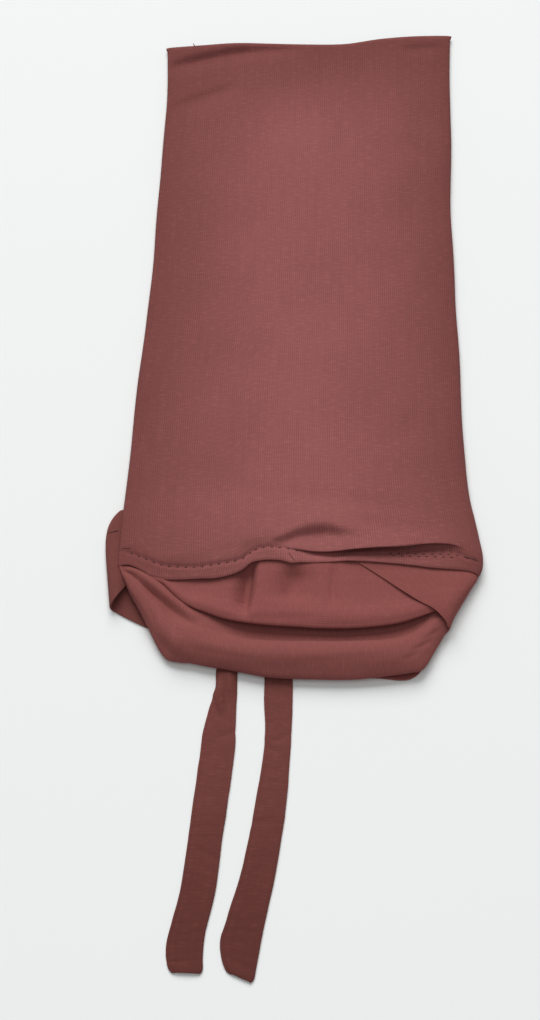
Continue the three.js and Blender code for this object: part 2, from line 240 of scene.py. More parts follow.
# The hem's stitches pull a shallow groove into the cloth, deepest at each stitch
STITCH_DEPTH = 0.8
STITCH_GROOVE = 1.5
STITCH_PULL = 0.4
STITCH_PITCH = 5.7
STITCHED_REACH = 20
STITCH_LINE = [
    dict(x=x, y=y)
    for x, y in (
        (-119.5, -71), (-113.5, -73), (-102.5, -78), (-91.5, -83), (-81.5, -84.2), (-63.5, -84.2),
        (-51.5, -82.2), (-41.5, -80.2), (-35.5, -78), (-27.5, -71.4), (-20.5, -69.4),
        (-8.5, -69.4), (0.5, -70.4), (67.5, -73.6), (87.5, -74.6), (110.5, -75.6), (128.5, -79),
    )
]


def along(table, key, place, by="y"):
    """One column of a table at a place along another column, with smooth turns."""
    rows = table if table[0][by] < table[-1][by] else table[::-1]
    at = min(max(place, rows[0][by]), rows[-1][by])
    i = 0
    while i < len(rows) - 2 and rows[i + 1][by] < at:
        i += 1
    a, b = rows[i], rows[i + 1]
    span = b[by] - a[by]
    chord = (b[key] - a[key]) / span
    start = end = chord
    if i > 0:
        start = (chord + (a[key] - rows[i - 1][key]) / (a[by] - rows[i - 1][by])) / 2
    if i + 2 < len(rows):
        end = (chord + (rows[i + 2][key] - b[key]) / (rows[i + 2][by] - b[by])) / 2
    t = (at - a[by]) / span
    kept = a[key] * (1 - t) ** 2 * (1 + 2 * t) + b[key] * t**2 * (3 - 2 * t)
    return kept + span * t * (1 - t) * (start * (1 - t) - end * t)


def lerp(a, b, t):
    return a + (b - a) * t


def smooth(low, high, value):
    t = min(max((value - low) / (high - low), 0), 1)
    return t * t * (3 - 2 * t)


def fold_over(x, y, fold):
    """How far a fold across the cloth moves a point along Y and up."""
    if not fold[0]["x"] < x < fold[-1]["x"]:
        return 0, 0
    off = y - along(fold, "y", x, "x")
    off /= along(fold, "above" if off > 0 else "under", x, "x")
    if abs(off) > 4:
        return 0, 0
    wave = math.sqrt(math.e) * off * math.exp(-off * off / 2)
    up = along(fold, "rise" if off > 0 else "drop", x, "x")
    return -wave * max(0, along(fold, "push", x, "x")), wave * max(0, up)


def dent_depth(x, y, dent):
    if not dent[0]["x"] < x < dent[-1]["x"]:
        return 0
    off = y - along(dent, "y", x, "x")
    off /= along(dent, "far" if off > 0 else "near", x, "x")
    return max(0, along(dent, "depth", x, "x")) * math.exp(-off * off)


def crease_depth(x, y, creases):
    depth = 0
    for crease in creases:
        turn = math.radians(crease["turn"])
        dx, dy = x - crease["x"], y - crease["y"]
        lengthwise = (dx * math.cos(turn) + dy * math.sin(turn)) / crease["half"]
        across = dy * math.cos(turn) - dx * math.sin(turn)
        if abs(lengthwise) > 1.6 or abs(across) > 60:
            continue
        across /= crease["far"] if across > 0 else crease["near"]
        depth += crease["depth"] * math.exp(-(lengthwise**4) - across**2)
    return depth


def ripple(x, y, size, height):
    """Slow uneven swell of cloth that was smoothed out by hand."""
    return noise.noise(Vector((x / size, y / size, size))) * height


def sleeve_point(s, t, upper):
    def sideways(y):
        left = along(SLEEVE, "left", y)
        return left + (1 + s) * (along(SLEEVE, "right", y) - left) / 2

    rough_x = sideways(lerp(SLEEVE[0]["y"], SLEEVE[-1]["y"], t))
    near_y = along(HEM_EDGE if upper else LOWER_EDGE, "y", rough_x, "x")
    far_y = along(FAR_EDGE, "y", rough_x, "x")
    y = lerp(far_y, near_y, t)
    x = sideways(y)
    fold = lerp(along(SLEEVE, "left_fold", y), along(SLEEVE, "right_fold", y), (1 + s) / 2)
    half_width = (along(SLEEVE, "right", y) - along(SLEEVE, "left", y)) / 2
    at_edge = smooth(0.8, 1, abs(s))
    wander = ripple(0 if s < 0 else 50, y, *SIDE_WANDER) * at_edge
    wander += math.copysign(FAR_FLARE, s) * at_edge * math.exp(-(((far_y - y) / FAR_FLARE_REACH) ** 2))
    if upper:
        arch = math.sqrt(max(0, 1 - abs(s) ** ARCH_POWER))
        to_hem = y - near_y
        swell = sum(ripple(x, y, *size_and_height) for size_and_height in SWELLS)
        swell *= smooth(*SWELL_FROM_HEM, to_hem)
        stitched = 0
        if to_hem < STITCHED_REACH:
            off = (y - along(STITCH_LINE, "y", x, "x")) / STITCH_GROOVE
            pulled = 1 + STITCH_PULL * math.cos(x * math.tau / STITCH_PITCH)
            stitched = STITCH_DEPTH * math.exp(-off * off) * pulled
        curl = FAR_CURL_DROP * smooth(FAR_CURL, 0, far_y - y) ** 2
        curl += HEM_CURL_DROP * smooth(HEM_CURL, 0, to_hem) ** 2
        sunk = HEM_SINK * smooth(HEM_SINK_REACH, 0, to_hem)
        pressed = crease_depth(x, y, CREASES) + dent_depth(x, y, DENT) + stitched + curl + sunk
        rise = along(SLEEVE, "height", y) - fold + swell - pressed
        over_y, over_z = fold_over(x, y, TUCK)
        return Vector((x + wander, y + over_y, fold + (rise + over_z) * arch))
    turn_up = max(0, 1 - (1 - abs(s)) * half_width / FOLD_REACH)
    z = fold * (1 - math.sqrt(1 - turn_up**2))
    lift = along(SLEEVE, "lift", y) * smooth(*LIFT_REACH, half_width * (1 + s))
    return Vector((x + wander, y, max(z, lift)))


def cloth_grid(name, points, ribs_across=False):
    """A sheet of cloth from rows of points in millimetres. Its UV is its own flat size in metres,
    and the ribs of the knit run along V."""
    rows, columns = len(points) - 1, len(points[0]) - 1
    bpy.ops.mesh.primitive_grid_add(x_subdivisions=columns, y_subdivisions=rows, size=2)
    piece = bpy.context.object
    piece.name = name
    middle_row = points[rows // 2]
    across, down = [0], [0]
    for before, after in zip(middle_row, middle_row[1:]):
        across.append(across[-1] + (after - before).length * MM)
    for before, after in zip(points, points[1:]):
        down.append(down[-1] + (after[columns // 3] - before[columns // 3]).length * MM)
    places = []
    for vertex in piece.data.vertices:
        column = round((vertex.co.x + 1) / 2 * columns)
        row = round((vertex.co.y + 1) / 2 * rows)
        vertex.co = points[row][column] * MM
        places.append((down[row], across[column]) if ribs_across else (across[column], down[row]))
    piece.data.uv_layers[0].name = "cloth"
    for corner, loop in zip(piece.data.uv_layers[0].data, piece.data.loops):
        corner.uv = places[loop.vertex_index]
    return piece


def take(piece):
    """Selects one piece alone and makes it active."""
    bpy.ops.object.select_all(action="DESELECT")
    piece.select_set(True)
    bpy.context.view_layer.objects.active = piece


def edit(piece, *steps):
    """Runs edit mode operators on all of a piece."""
    take(piece)
    bpy.ops.object.mode_set(mode="EDIT")
    bpy.ops.mesh.select_all(action="SELECT")
    for step, options in steps:
        step(**options)
    bpy.ops.object.mode_set(mode="OBJECT")


def modify(piece, kind, **settings):
    """Adds a modifier and applies it."""
    take(piece)
    modifier = piece.modifiers.new(kind.lower(), kind)
    for key, value in settings.items():
        setattr(modifier, key, value)
    bpy.ops.object.modifier_apply(modifier=modifier.name)


def finish_cloth(piece, material, replaces=None):
    piece.data.materials.append(material)
    for face in piece.data.polygons:
        face.use_smooth = True
    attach(piece, "root")
    if replaces:
        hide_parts(replaces)
    bpy.ops.object.select_all(action="DESELECT")


# Single jersey of viscose: fine ribs of loops run one way, and thicker bits of yarn show as short
# dashes across them. The eye sees a matt cloth with a faint rib that comes and goes.
RIB_PITCH = 1.6 * MM  # the real ribs are about 0.8 mm apart, too fine to show in the picture
WAVE_PERIOD = math.pi / 10  # of Blender's wave texture at scale 1
RIB_PATCH = 16.667 * MM  # the ribs show in patches of about this size
SLUB_LENGTH = 6.5 * MM
SLUB_HEIGHT = 1.1 * MM
PULL_LENGTH = 60 * MM
PULL_WIDTH = 2.5 * MM
PULL_CONTRAST = 0.07
MOTTLE_SIZE = 55.556 * MM
MOTTLE_CONTRAST = 0.1
FUZZ_SIZE = 0.71429 * MM
FUZZ_RELIEF = 0.5
RIB_RELIEF = 2
LOOP_HEIGHT = 0.25 * MM
SHEEN_COLOUR = "c09090"


def jersey(
    name, hex_colour, rib_contrast, slub_contrast, painted_shade_colour="", painted_shade_from=0, painted_shade_to=0, shaded_fold_width=0
):
    """A jersey material with painted shade: the cloth between the two given places along its length turns to
    the given shade colour, and so does the cloth at a tube's folds, which come back every given fold width."""
    material, tree = new_material(name)
    flat = node(tree, "ShaderNodeUVMap", uv_map="cloth").outputs["UV"]

    colour = linear(hex_colour)
    # Painted shade: darker between two places along the cloth and towards a tube's folds
    if painted_shade_colour:
        apart = node(tree, "ShaderNodeSeparateXYZ", [("Vector", flat)])
        unshaded = node(
            tree,
            "ShaderNodeMapRange",
            [("Value", apart.outputs["Y"]), ("From Min", painted_shade_to), ("From Max", painted_shade_from)],
            interpolation_type="SMOOTHSTEP",
        ).outputs["Result"]
        if shaded_fold_width:
            widths = [(0, apart.outputs["X"]), (1, math.pi / shaded_fold_width)]
            turn = node(tree, "ShaderNodeMath", widths, operation="MULTIPLY")
            wave = node(tree, "ShaderNodeMath", [(0, turn.outputs[0])], operation="SINE")
            middle = node(tree, "ShaderNodeMath", [(0, wave.outputs[0])], operation="ABSOLUTE")
            both = [(0, middle.outputs[0]), (1, unshaded)]
            unshaded = node(tree, "ShaderNodeMath", both, operation="MULTIPLY").outputs[0]
        shades = [("Factor", unshaded), (6, linear(painted_shade_colour)), (7, colour)]
        colour = node(tree, "ShaderNodeMix", shades, data_type="RGBA").outputs[2]

    lines = [("Vector", flat), ("Scale", WAVE_PERIOD / RIB_PITCH)]
    lines += [("Distortion", 1), ("Detail", 1), ("Detail Scale", 0.3)]
    ribs = node(tree, "ShaderNodeTexWave", lines)
    raised = node(tree, "ShaderNodeMath", [(0, ribs.outputs["Fac"]), (1, 0.5)], operation="SUBTRACT")
    patches = node(tree, "ShaderNodeTexNoise", [("Vector", flat), ("Scale", 1 / RIB_PATCH), ("Detail", 3)])
    seen = [("Value", patches.outputs["Fac"]), ("From Min", 0.38), ("From Max", 0.62)]
    shown = node(tree, "ShaderNodeMapRange", seen)
    factors = [(0, raised.outputs[0]), (1, shown.outputs["Result"])]
    ridges = node(tree, "ShaderNodeMath", factors, operation="MULTIPLY").outputs[0]
    # Each pattern with its contrast, and the span of its values that the contrast is spread over
    patterns = [(ridges, rib_contrast, -0.5, 0.5)]
    for width, length, detail, contrast, low, high in (
        (SLUB_LENGTH, SLUB_HEIGHT, 2, slub_contrast, 0.5, 0.74),
        (PULL_WIDTH, PULL_LENGTH, 2, PULL_CONTRAST, 0.25, 0.75),
        (MOTTLE_SIZE, MOTTLE_SIZE, 3, MOTTLE_CONTRAST, 0.25, 0.75),
    ):
        sized = node(tree, "ShaderNodeMapping", [("Vector", flat), ("Scale", (1 / width, 1 / length, 1))])
        spots = [("Vector", sized.outputs["Vector"]), ("Scale", 1), ("Detail", detail)]
        patterns.append((node(tree, "ShaderNodeTexNoise", spots).outputs["Fac"], contrast, low, high))
    tones = []
    for pattern, contrast, low, high in patterns:
        spread = [("Value", pattern), ("From Min", low), ("From Max", high)]
        spread += [("To Min", 1 - contrast / 2), ("To Max", 1 + contrast / 2)]
        tones.append(node(tree, "ShaderNodeMapRange", spread).outputs["Result"])
    value = tones[0]
    for tone in tones[1:]:
        value = node(tree, "ShaderNodeMath", [(0, value), (1, tone)], operation="MULTIPLY").outputs[0]
    tinted = node(tree, "ShaderNodeHueSaturation", [("Color", colour), ("Value", value)])

    fuzz = node(tree, "ShaderNodeTexNoise", [("Vector", flat), ("Scale", 1 / FUZZ_SIZE), ("Detail", 2)])
    felt = [(0, ridges), (1, rib_contrast * RIB_RELIEF)]
    ribbed = node(tree, "ShaderNodeMath", felt, operation="MULTIPLY")
    heights = [(0, fuzz.outputs["Fac"]), (1, FUZZ_RELIEF), (2, ribbed.outputs[0])]
    relief = node(tree, "ShaderNodeMath", heights, operation="MULTIPLY_ADD")
    depth = [("Strength", 0.4), ("Distance", LOOP_HEIGHT), ("Height", relief.outputs[0])]
    bump = node(tree, "ShaderNodeBump", depth)
    shader = node(
        tree,
        "ShaderNodeBsdfPrincipled",
        [("Base Color", tinted.outputs["Color"]), ("Roughness", 0.95), ("Normal", bump.outputs["Normal"])],
    )
    shader.inputs["Specular IOR Level"].default_value = 0.12
    shader.inputs["Sheen Weight"].default_value = 0.08
    shader.inputs["Sheen Roughness"].default_value = 0.5
    shader.inputs["Sheen Tint"].default_value = linear(SHEEN_COLOUR)
    node(tree, "ShaderNodeOutputMaterial", [("Surface", shader.outputs["BSDF"])])
    return material


ring = []
for k in range(UPPER_COLUMNS + 1):
    share = 2 * k / UPPER_COLUMNS - 1
    ring.append((lerp(share, math.sin(math.pi / 2 * share), COLUMN_CROWDING), True))
for k in range(1, LOWER_COLUMNS):
    ring.append((math.sin(math.pi / 2 * (1 - 2 * k / LOWER_COLUMNS)), False))
ring.append(ring[0])
shares = [0]
for reached, count in ROW_SHARES:
    start = shares[-1]
    shares += [lerp(start, reached, k / count) for k in range(1, count + 1)]
rows = [[sleeve_point(s, t, upper) for s, upper in ring] for t in shares]


def inwards(row, column):
    """The direction from a point of a ring into the sleeve."""
    last = len(row) - 1
    before = row[(column - 1) % last]
    after = row[(column + 1) % last]
    return Vector((after.z - before.z, 0, before.x - after.x)).normalized()


edge = rows[-1]
turned = []
for k in range(1, HEM_TURN_STEPS + 1):
    angle = math.pi * k / HEM_TURN_STEPS
    forward = Vector((0, -HEM_RADIUS * math.sin(angle), 0))
    inside = HEM_RADIUS * (1 - math.cos(angle))
    turned.append([p + forward + inwards(edge, j) * inside for j, p in enumerate(edge)])
for k in range(1, HEM_TURNED_ROWS + 1):
    row = rows[-1 - k]
    turned.append([p + inwards(row, j) * HEM_RADIUS * 2 for j, p in enumerate(row)])
sleeve = cloth_grid("sleeve_of_jersey", rows + turned)
close_seam = (bpy.ops.mesh.remove_doubles, dict(threshold=1e-6))
face_outwards = (bpy.ops.mesh.normals_make_consistent, dict(inside=False))
edit(sleeve, close_seam, face_outwards)
modify(sleeve, "SOLIDIFY", thickness=SLEEVE_WALL * MM, offset=-1)
# Painted shade: the sleeve turns darker towards its far end and towards its folded sides
sleeve_jersey = jersey(
    "viscose_jersey_sleeve",
    "985b59",
    rib_contrast=0.3,
    slub_contrast=0.2,
    painted_shade_colour="7d4744",
    painted_shade_from=0.095,
    painted_shade_to=-0.01,
    shaded_fold_width=0.255,
)
finish_cloth(sleeve, sleeve_jersey, "crown_sleeve")

# The hem's stitches and seams.
# One row of twin-needle stitches holds the turned-in hem. Each stitch pulls a small dark pit into
# the cloth. A short seam crosses the hem where the tube is joined.
# A stitch is a bead that is stretched along the hem and pressed flat
STITCH_RADIUS = 0.5
STITCH_SIZE = (2.1, 1.2, 0.7)
# Each run of stitches: where it starts and ends, and how far it lies from the stitch line
STITCH_RUNS = ((-112, 3, 0), (67, 127, 0.6), (69, 112, -1.3))
# The thread's colour is partly painted shade: it is darker to stand for the pits that the stitches pull
THREAD_AND_PIT_SHADE_COLOUR = "582d2c"
STRAND_SIZE = 1.1111 * MM
SEAM_RADIUS = 0.3
# The seam across the hem, and the ends of the hem's fold at its left and its right corner
HEM_SEAMS = (
    ((-3.4, -73.4), (-2.4, -75.4), (-0.8, -77.6), (0.2, -79)),
    ((-118.6, -69.6), (-116, -69.8), (-113, -70)),
    ((117.6, -76.6), (122, -77.2), (127, -78.6)),
)
# A loose end of yarn at the cut far edge: where it lies on the cloth, and its free tip
LOOSE_THREAD = ((-71.6, 355.6), (-73.4, 356.6), (-74.6, 357.2))
LOOSE_END = (Vector((-75.4, 358.6, 7)), Vector((-75.8, 359.6, 6.8)))


def drop_on(piece, x, y):
    """The point of a piece's upper side above x, y, in metres."""
    hit, place, _, _ = piece.ray_cast(Vector((x * MM, y * MM, 1)), Vector((0, 0, -1)))
    if not hit:
        raise ValueError("no cloth under this point")
    return place


def join_all(name, pieces):
    bpy.ops.object.select_all(action="DESELECT")
    for piece in pieces:
        piece.select_set(True)
    bpy.context.view_layer.objects.active = pieces[0]
    bpy.ops.object.join()
    joined = bpy.context.object
    joined.name = name
    bpy.ops.object.transform_apply(location=True, rotation=True, scale=True)
    return joined


def thread(name, places, radius):
    """A thread laid through places in metres, as a mesh."""
    curve = bpy.data.curves.new(name, "CURVE")
    curve.dimensions = "3D"
    curve.bevel_depth = radius
    curve.bevel_resolution = 2
    curve.use_fill_caps = True
    spline = curve.splines.new("POLY")
    spline.points.add(len(places) - 1)
    for point, at in zip(spline.points, places):
        point.co = (*at, 1)
    piece = bpy.data.objects.new(name, curve)
    bpy.context.collection.objects.link(piece)
    take(piece)
    bpy.ops.object.convert(target="MESH")
    return bpy.context.object


def shade_of(colour, share):
    return [min(1, c * share) for c in colour[:3]] + [1]


# Spun polyester: a dark matt thread, slightly uneven where its strands catch the light. Part of its darkness
# is painted shade of the small pits that the stitches pull into the cloth.
thread_and_pit_shade_material, tree = new_material("spun_polyester_thread_with_painted_shade")
place = node(tree, "ShaderNodeTexCoord")
spots = [("Vector", place.outputs["Object"]), ("Scale", 1 / STRAND_SIZE), ("Detail", 2)]
strands = node(tree, "ShaderNodeTexNoise", spots)
darker, lighter = (shade_of(linear(THREAD_AND_PIT_SHADE_COLOUR), share) for share in (0.85, 1.15))
shades = [("Factor", strands.outputs["Fac"]), (6, darker), (7, lighter)]
tone = node(tree, "ShaderNodeMix", shades, data_type="RGBA")
shader = node(tree, "ShaderNodeBsdfPrincipled", [("Base Color", tone.outputs[2]), ("Roughness", 0.8)])
node(tree, "ShaderNodeOutputMaterial", [("Surface", shader.outputs["BSDF"])])

bpy.context.view_layer.update()
stitches = []
for start, end, offset in STITCH_RUNS:
    x = start
    while x < end:
        ahead, behind = along(STITCH_LINE, "y", x + 1, "x"), along(STITCH_LINE, "y", x - 1, "x")
        centre = drop_on(sleeve, x, along(STITCH_LINE, "y", x, "x") + offset)
        radius = STITCH_RADIUS * MM
        bpy.ops.mesh.primitive_uv_sphere_add(segments=10, ring_count=6, radius=radius, location=centre)
        stitch = bpy.context.object
        stitch.scale = STITCH_SIZE
        stitch.rotation_euler = (0, 0, math.atan2(ahead - behind, 2))
        stitches.append(stitch)
        x += STITCH_PITCH * math.cos(math.atan2(ahead - behind, 2))
for seam in HEM_SEAMS:
    stitches.append(thread("hem_seam", [drop_on(sleeve, x, y) for x, y in seam], SEAM_RADIUS * MM))
loose = [drop_on(sleeve, x, y) for x, y in LOOSE_THREAD] + [place * MM for place in LOOSE_END]
stitches.append(thread("loose_thread", loose, SEAM_RADIUS * MM))
hem_stitches = join_all("hem_stitches", stitches)
finish_cloth(hem_stitches, thread_and_pit_shade_material)

# The inner band.
# A strip of the same jersey folded double, seen from its inside in the head opening. It comes out
# from under the hem, dips a little where the hem presses on it, and ends in a free curved edge.
BAND_WALL = 1.3
EDGE_ROUND = 0.5
INNER_ROWS = 60
INNER_COLUMNS = 170
INNER_SWELL = (40, 0.5)
INNER_SAG = 0.3
# Cuts across the band from left to right: the free edge in front, the place under the hem's edge
# and the sewn edge at the back, each with its height, and how far the free edge rolls down
INNER_BAND = [
    dict(x=-105, front_y=-84.6, front_z=9.6, hem_y=-80, hem_z=9, back_y=-54, back_z=4.4, roll=0.2),
    dict(x=-99, front_y=-91, front_z=11, hem_y=-83, hem_z=9.2, back_y=-44, back_z=3.4, roll=0.3),
    dict(x=-90, front_y=-95.6, front_z=12, hem_y=-88, hem_z=9.6, back_y=-40, back_z=3, roll=0.4),
    dict(x=-81.5, front_y=-104.4, front_z=12.8, hem_y=-90, hem_z=9.6, back_y=-36, back_z=2.8, roll=0.5),
    dict(x=-71, front_y=-112.5, front_z=13.2, hem_y=-90, hem_z=9.6, back_y=-34, back_z=2.6, roll=0.6),
    dict(x=-61, front_y=-116.8, front_z=13.2, hem_y=-90, hem_z=9.6, back_y=-32, back_z=2.4, roll=0.8),
    dict(x=-49, front_y=-121.2, front_z=13.1, hem_y=-90, hem_z=9.4, back_y=-30, back_z=2.4, roll=1),
    dict(x=-35, front_y=-124.2, front_z=13.2, hem_y=-86, hem_z=9.2, back_y=-28, back_z=2.4, roll=1),
    dict(x=-22, front_y=-126, front_z=13.2, hem_y=-80, hem_z=9.4, back_y=-28, back_z=2.4, roll=1),
    dict(x=4, front_y=-127.8, front_z=13.2, hem_y=-79, hem_z=9, back_y=-28, back_z=2.4, roll=1),
    dict(x=17.5, front_y=-128.6, front_z=13.2, hem_y=-79, hem_z=8.8, back_y=-28, back_z=2.4, roll=1),
    dict(x=44.7, front_y=-128.2, front_z=13.2, hem_y=-80, hem_z=8.4, back_y=-30, back_z=2.4, roll=1),
    dict(x=72, front_y=-124.5, front_z=12.8, hem_y=-82, hem_z=8.4, back_y=-34, back_z=2.6, roll=1),
    dict(x=85.7, front_y=-119.9, front_z=12.5, hem_y=-84, hem_z=8.4, back_y=-44, back_z=3, roll=0.8),
    dict(x=94.7, front_y=-116.4, front_z=12.2, hem_y=-86, hem_z=8.2, back_y=-50, back_z=3.2, roll=0.6),
    dict(x=101, front_y=-113.4, front_z=11.8, hem_y=-86, hem_z=8, back_y=-54, back_z=3.4, roll=0.4),
]
# The free edge is a soft fold that rolls down: how far back and down its three points lie
INNER_ROLL = ((0.8, -3.4), (0, -1.5), (2.6, -0.1))
# Dents of the inner band, as the sleeve's creases
INNER_DENTS = [
    dict(x=-30.8, y=-99, turn=82, half=18, far=7.5, near=2.8, depth=9),
    dict(x=-37, y=-104, turn=4, half=5, far=0.9, near=0.9, depth=0.7),
    dict(x=-36, y=-99.6, turn=4, half=5, far=0.9, near=0.9, depth=0.6),
    dict(x=-37, y=-108.4, turn=4, half=5, far=0.9, near=0.9, depth=0.6),
    dict(x=-23, y=-98, turn=86, half=14, far=4, near=8, depth=-1),
    dict(x=-1, y=-96, turn=84, half=12, far=8.5, near=11, depth=6.4),
    dict(x=27, y=-97, turn=86, half=15, far=3.2, near=3, depth=1.8),
    dict(x=12, y=-103, turn=86, half=16, far=4, near=4, depth=0.6),
    dict(x=-5, y=-121.6, turn=-2, half=22, far=1.6, near=2.4, depth=0.9),
    dict(x=60, y=-112, turn=8, half=26, far=6, near=10, depth=0.7),
    dict(x=-70, y=-100, turn=40, half=18, far=6, near=8, depth=0.8),
]


def through(stops, t):
    """A smooth curve through points that are unevenly spaced, at t from 0 to 1."""
    place = t * (len(stops) - 1)
    i = min(int(place), len(stops) - 2)
    b, c = stops[i], stops[i + 1]
    a = stops[i - 1] if i > 0 else b * 2 - c
    d = stops[i + 2] if i + 2 < len(stops) else c * 2 - b
    before, here, after = (max((q - p).length, 1e-6) for p, q in ((a, b), (b, c), (c, d)))
    leave = ((c - b) / here * before + (b - a) / before * here) / (before + here) * here
    arrive = ((d - c) / after * here + (c - b) / here * after) / (here + after) * here
    f = place - i
    kept = b * ((1 - f) ** 2 * (1 + 2 * f)) + c * (f * f * (3 - 2 * f))
    return kept + leave * (f * (1 - f) ** 2) - arrive * (f * f * (1 - f))


def inner_point(x, t):
    def at(key):
        return along(INNER_BAND, key, x, "x")

    free = Vector((x, at("front_y"), at("front_z")))
    hem = Vector((x, at("hem_y"), at("hem_z")))
    sewn = Vector((x, at("back_y"), at("back_z")))
    rolled = [free + Vector((0, *offset)) * at("roll") for offset in INNER_ROLL]
    middle = (free + hem) / 2 - Vector((0, 0, INNER_SAG))
    point = through([*rolled, middle, hem, (hem + sewn) / 2, sewn], t)
    point.z += ripple(point.x, point.y, *INNER_SWELL) - crease_depth(point.x, point.y, INNER_DENTS)
    return point


def across_cuts(point_at, cuts, columns, rows):
    """Rows of points for a band whose shape is given by cuts across it, from left to right."""
    first_x, last_x = cuts[0]["x"], cuts[-1]["x"]
    return [
        [point_at(lerp(first_x, last_x, i / columns), k / rows) for k in range(rows + 1)]
        for i in range(columns + 1)
    ]


def give_wall(piece, wall):
    """Turns a sheet's faces outwards, gives it its thickness and rounds its edges."""
    edit(piece, face_outwards)
    modify(piece, "SOLIDIFY", thickness=wall * MM, offset=0)
    modify(piece, "BEVEL", width=EDGE_ROUND * MM, segments=2, limit_method="ANGLE")


inner = cloth_grid("inner_band", across_cuts(inner_point, INNER_BAND, INNER_COLUMNS, INNER_ROWS))
give_wall(inner, BAND_WALL)
inner_jersey = jersey("viscose_jersey_inner_band", "8f514e", rib_contrast=0.18, slub_contrast=0.16)
finish_cloth(inner, inner_jersey, "band_inner")

# The left band.
# The outer band of doubled jersey leaves the left corner in soft folds, rolls along the front and
# ends under the flap. It is held by the corner's seam and by the flap that lies over its end.
LEFT_COLUMNS = 190
LEFT_ROWS = 120
LEFT_SWELL = (26, 0.6)
LEFT_TOP = 8
UNDER_ROLL = 1.1
# Each cut across the band gives its x, and then y and z of its points: the edge that is tucked
# under the inner band, the ridge or the hollow beside it, the groove, the rise of the roll, its
# crest, its shoulder and its front, and the end of its under side
LEFT_POINTS = ("edge", "ridge", "groove", "rise", "crest", "shoulder", "front", "under")
LEFT_CUTS = (
    (-120.5, (-79, 8.6), (-79.6, 9.2), (-80, 9.2), (-80.4, 9.2),
     (-80.8, 9.1), (-81.4, 8.6), (-82, 7.8), (-79.4, 7.4)),
    (-118.5, (-79.5, 8.2), (-83, 8.8), (-84, 8.7), (-85, 8.9),
     (-86, 9), (-87, 8.6), (-87.8, 7.4), (-80, 6.9)),
    (-116, (-80, 8), (-84.5, 9.3), (-86.6, 8.7), (-88.6, 9.4),
     (-90.4, 9.6), (-92.2, 8.9), (-93.2, 6.9), (-80, 6.3)),
    (-112.5, (-80.5, 7.8), (-85.5, 10), (-88.2, 8.4), (-91, 10),
     (-95, 10.4), (-99.5, 9.4), (-101.4, 6.2), (-81, 5.4)),
    (-106, (-82, 7.6), (-89.2, 11.2), (-94.4, 9.2), (-98.8, 10.8),
     (-103, 11.2), (-109.8, 9.8), (-113, 5.8), (-82, 4.2)),
    (-99, (-86, 7.8), (-94.6, 12.2), (-101.8, 8.6), (-107.4, 11.3),
     (-112.6, 11.8), (-122.4, 10), (-126.8, 5.2), (-80, 3.2)),
    (-92, (-92, 7.8), (-100.6, 12.6), (-108.6, 8.6), (-114.8, 12),
     (-131, 12.3), (-135.8, 9), (-141, 4.4), (-77, 2.7)),
    (-87, (-96, 7.4), (-105, 12.6), (-113.2, 8.6), (-119.6, 12.1),
     (-136, 12.6), (-141.6, 8), (-147.8, 3.8), (-76, 2.7)),
    (-80, (-102.5, 7), (-110.8, 12.2), (-118.6, 9.2), (-124.6, 12.3),
     (-144, 12.6), (-147.4, 9), (-150.5, 4.4), (-75, 2.7)),
    (-70, (-107, 6.6), (-118.8, 11.2), (-125, 10.2), (-129.8, 12.5),
     (-139, 13.2), (-147, 10.6), (-151.6, 5), (-73, 2.7)),
    (-60, (-110, 6.4), (-121.6, 9.6), (-128, 11), (-134, 12.8),
     (-142, 13.6), (-149, 10.8), (-153.8, 5.2), (-72, 2.7)),
    (-48, (-112, 5.4), (-124, 6.6), (-131, 8.2), (-137, 12.4),
     (-144.5, 14), (-152, 11), (-156, 5.4), (-72, 2.7)),
    (-36, (-114, 4.9), (-126, 4.6), (-133.4, 5.8), (-138.6, 12.2),
     (-146, 14.2), (-154, 11), (-158.4, 5.6), (-72, 2.7)),
    (-18, (-117, 4.9), (-128, 4.4), (-135, 5.2), (-139.8, 12.2),
     (-147.5, 14.4), (-156, 10.8), (-162, 5.6), (-72, 2.7)),
    (10, (-118, 4.9), (-129, 4.4), (-135.5, 5.2), (-140.2, 12.2),
     (-148, 14.4), (-157.5, 10.6), (-163.4, 5.6), (-72, 2.7)),
    (40, (-118, 4.9), (-129, 4.4), (-135.5, 5.2), (-140, 12),
     (-147.5, 14.2), (-157.5, 10.8), (-163.6, 5.8), (-72, 2.7)),
    (66, (-115, 4.9), (-127, 4.6), (-134, 5.6), (-138.5, 11.6),
     (-145.5, 13.6), (-155.5, 11.2), (-161, 7), (-74, 3.4)),
    (80, (-112, 5), (-123.6, 5), (-130.4, 6.2), (-134.8, 11),
     (-141.5, 12.8), (-152.8, 11), (-159, 7.2), (-78, 3.8)),
    (85, (-111, 5.2), (-121.4, 5.5), (-127.8, 6.9), (-132, 10.9),
     (-138, 12.3), (-150.4, 10.6), (-158, 6.6), (-81, 3.6)),
    (88.6, (-110, 5.4), (-119.8, 5.9), (-125.8, 7.5), (-130, 10.8),
     (-135.4, 11.9), (-147, 10), (-154.6, 6.2), (-83, 3.4)),
    (95, (-108, 6), (-116, 7.6), (-120.5, 8.8), (-124.5, 11),
     (-129, 11.4), (-137.5, 9.6), (-143.6, 5.8), (-87, 2.7)),
    (101, (-109.5, 6.2), (-115.2, 8.2), (-118, 9.2), (-120.4, 10),
     (-123, 10), (-129, 8.6), (-133.4, 5.6), (-92, 2.9)),
    (104.5, (-112, 6.4), (-116, 8.4), (-118, 9), (-120, 9.2),
     (-122, 9), (-125, 7.8), (-127.6, 5.4), (-96, 3)),
)
LEFT_BAND = [
    dict(x=x)
    | {name + axis: spot[i] for name, spot in zip(LEFT_POINTS, spots) for i, axis in enumerate(("_y", "_z"))}
    for x, *spots in LEFT_CUTS
]
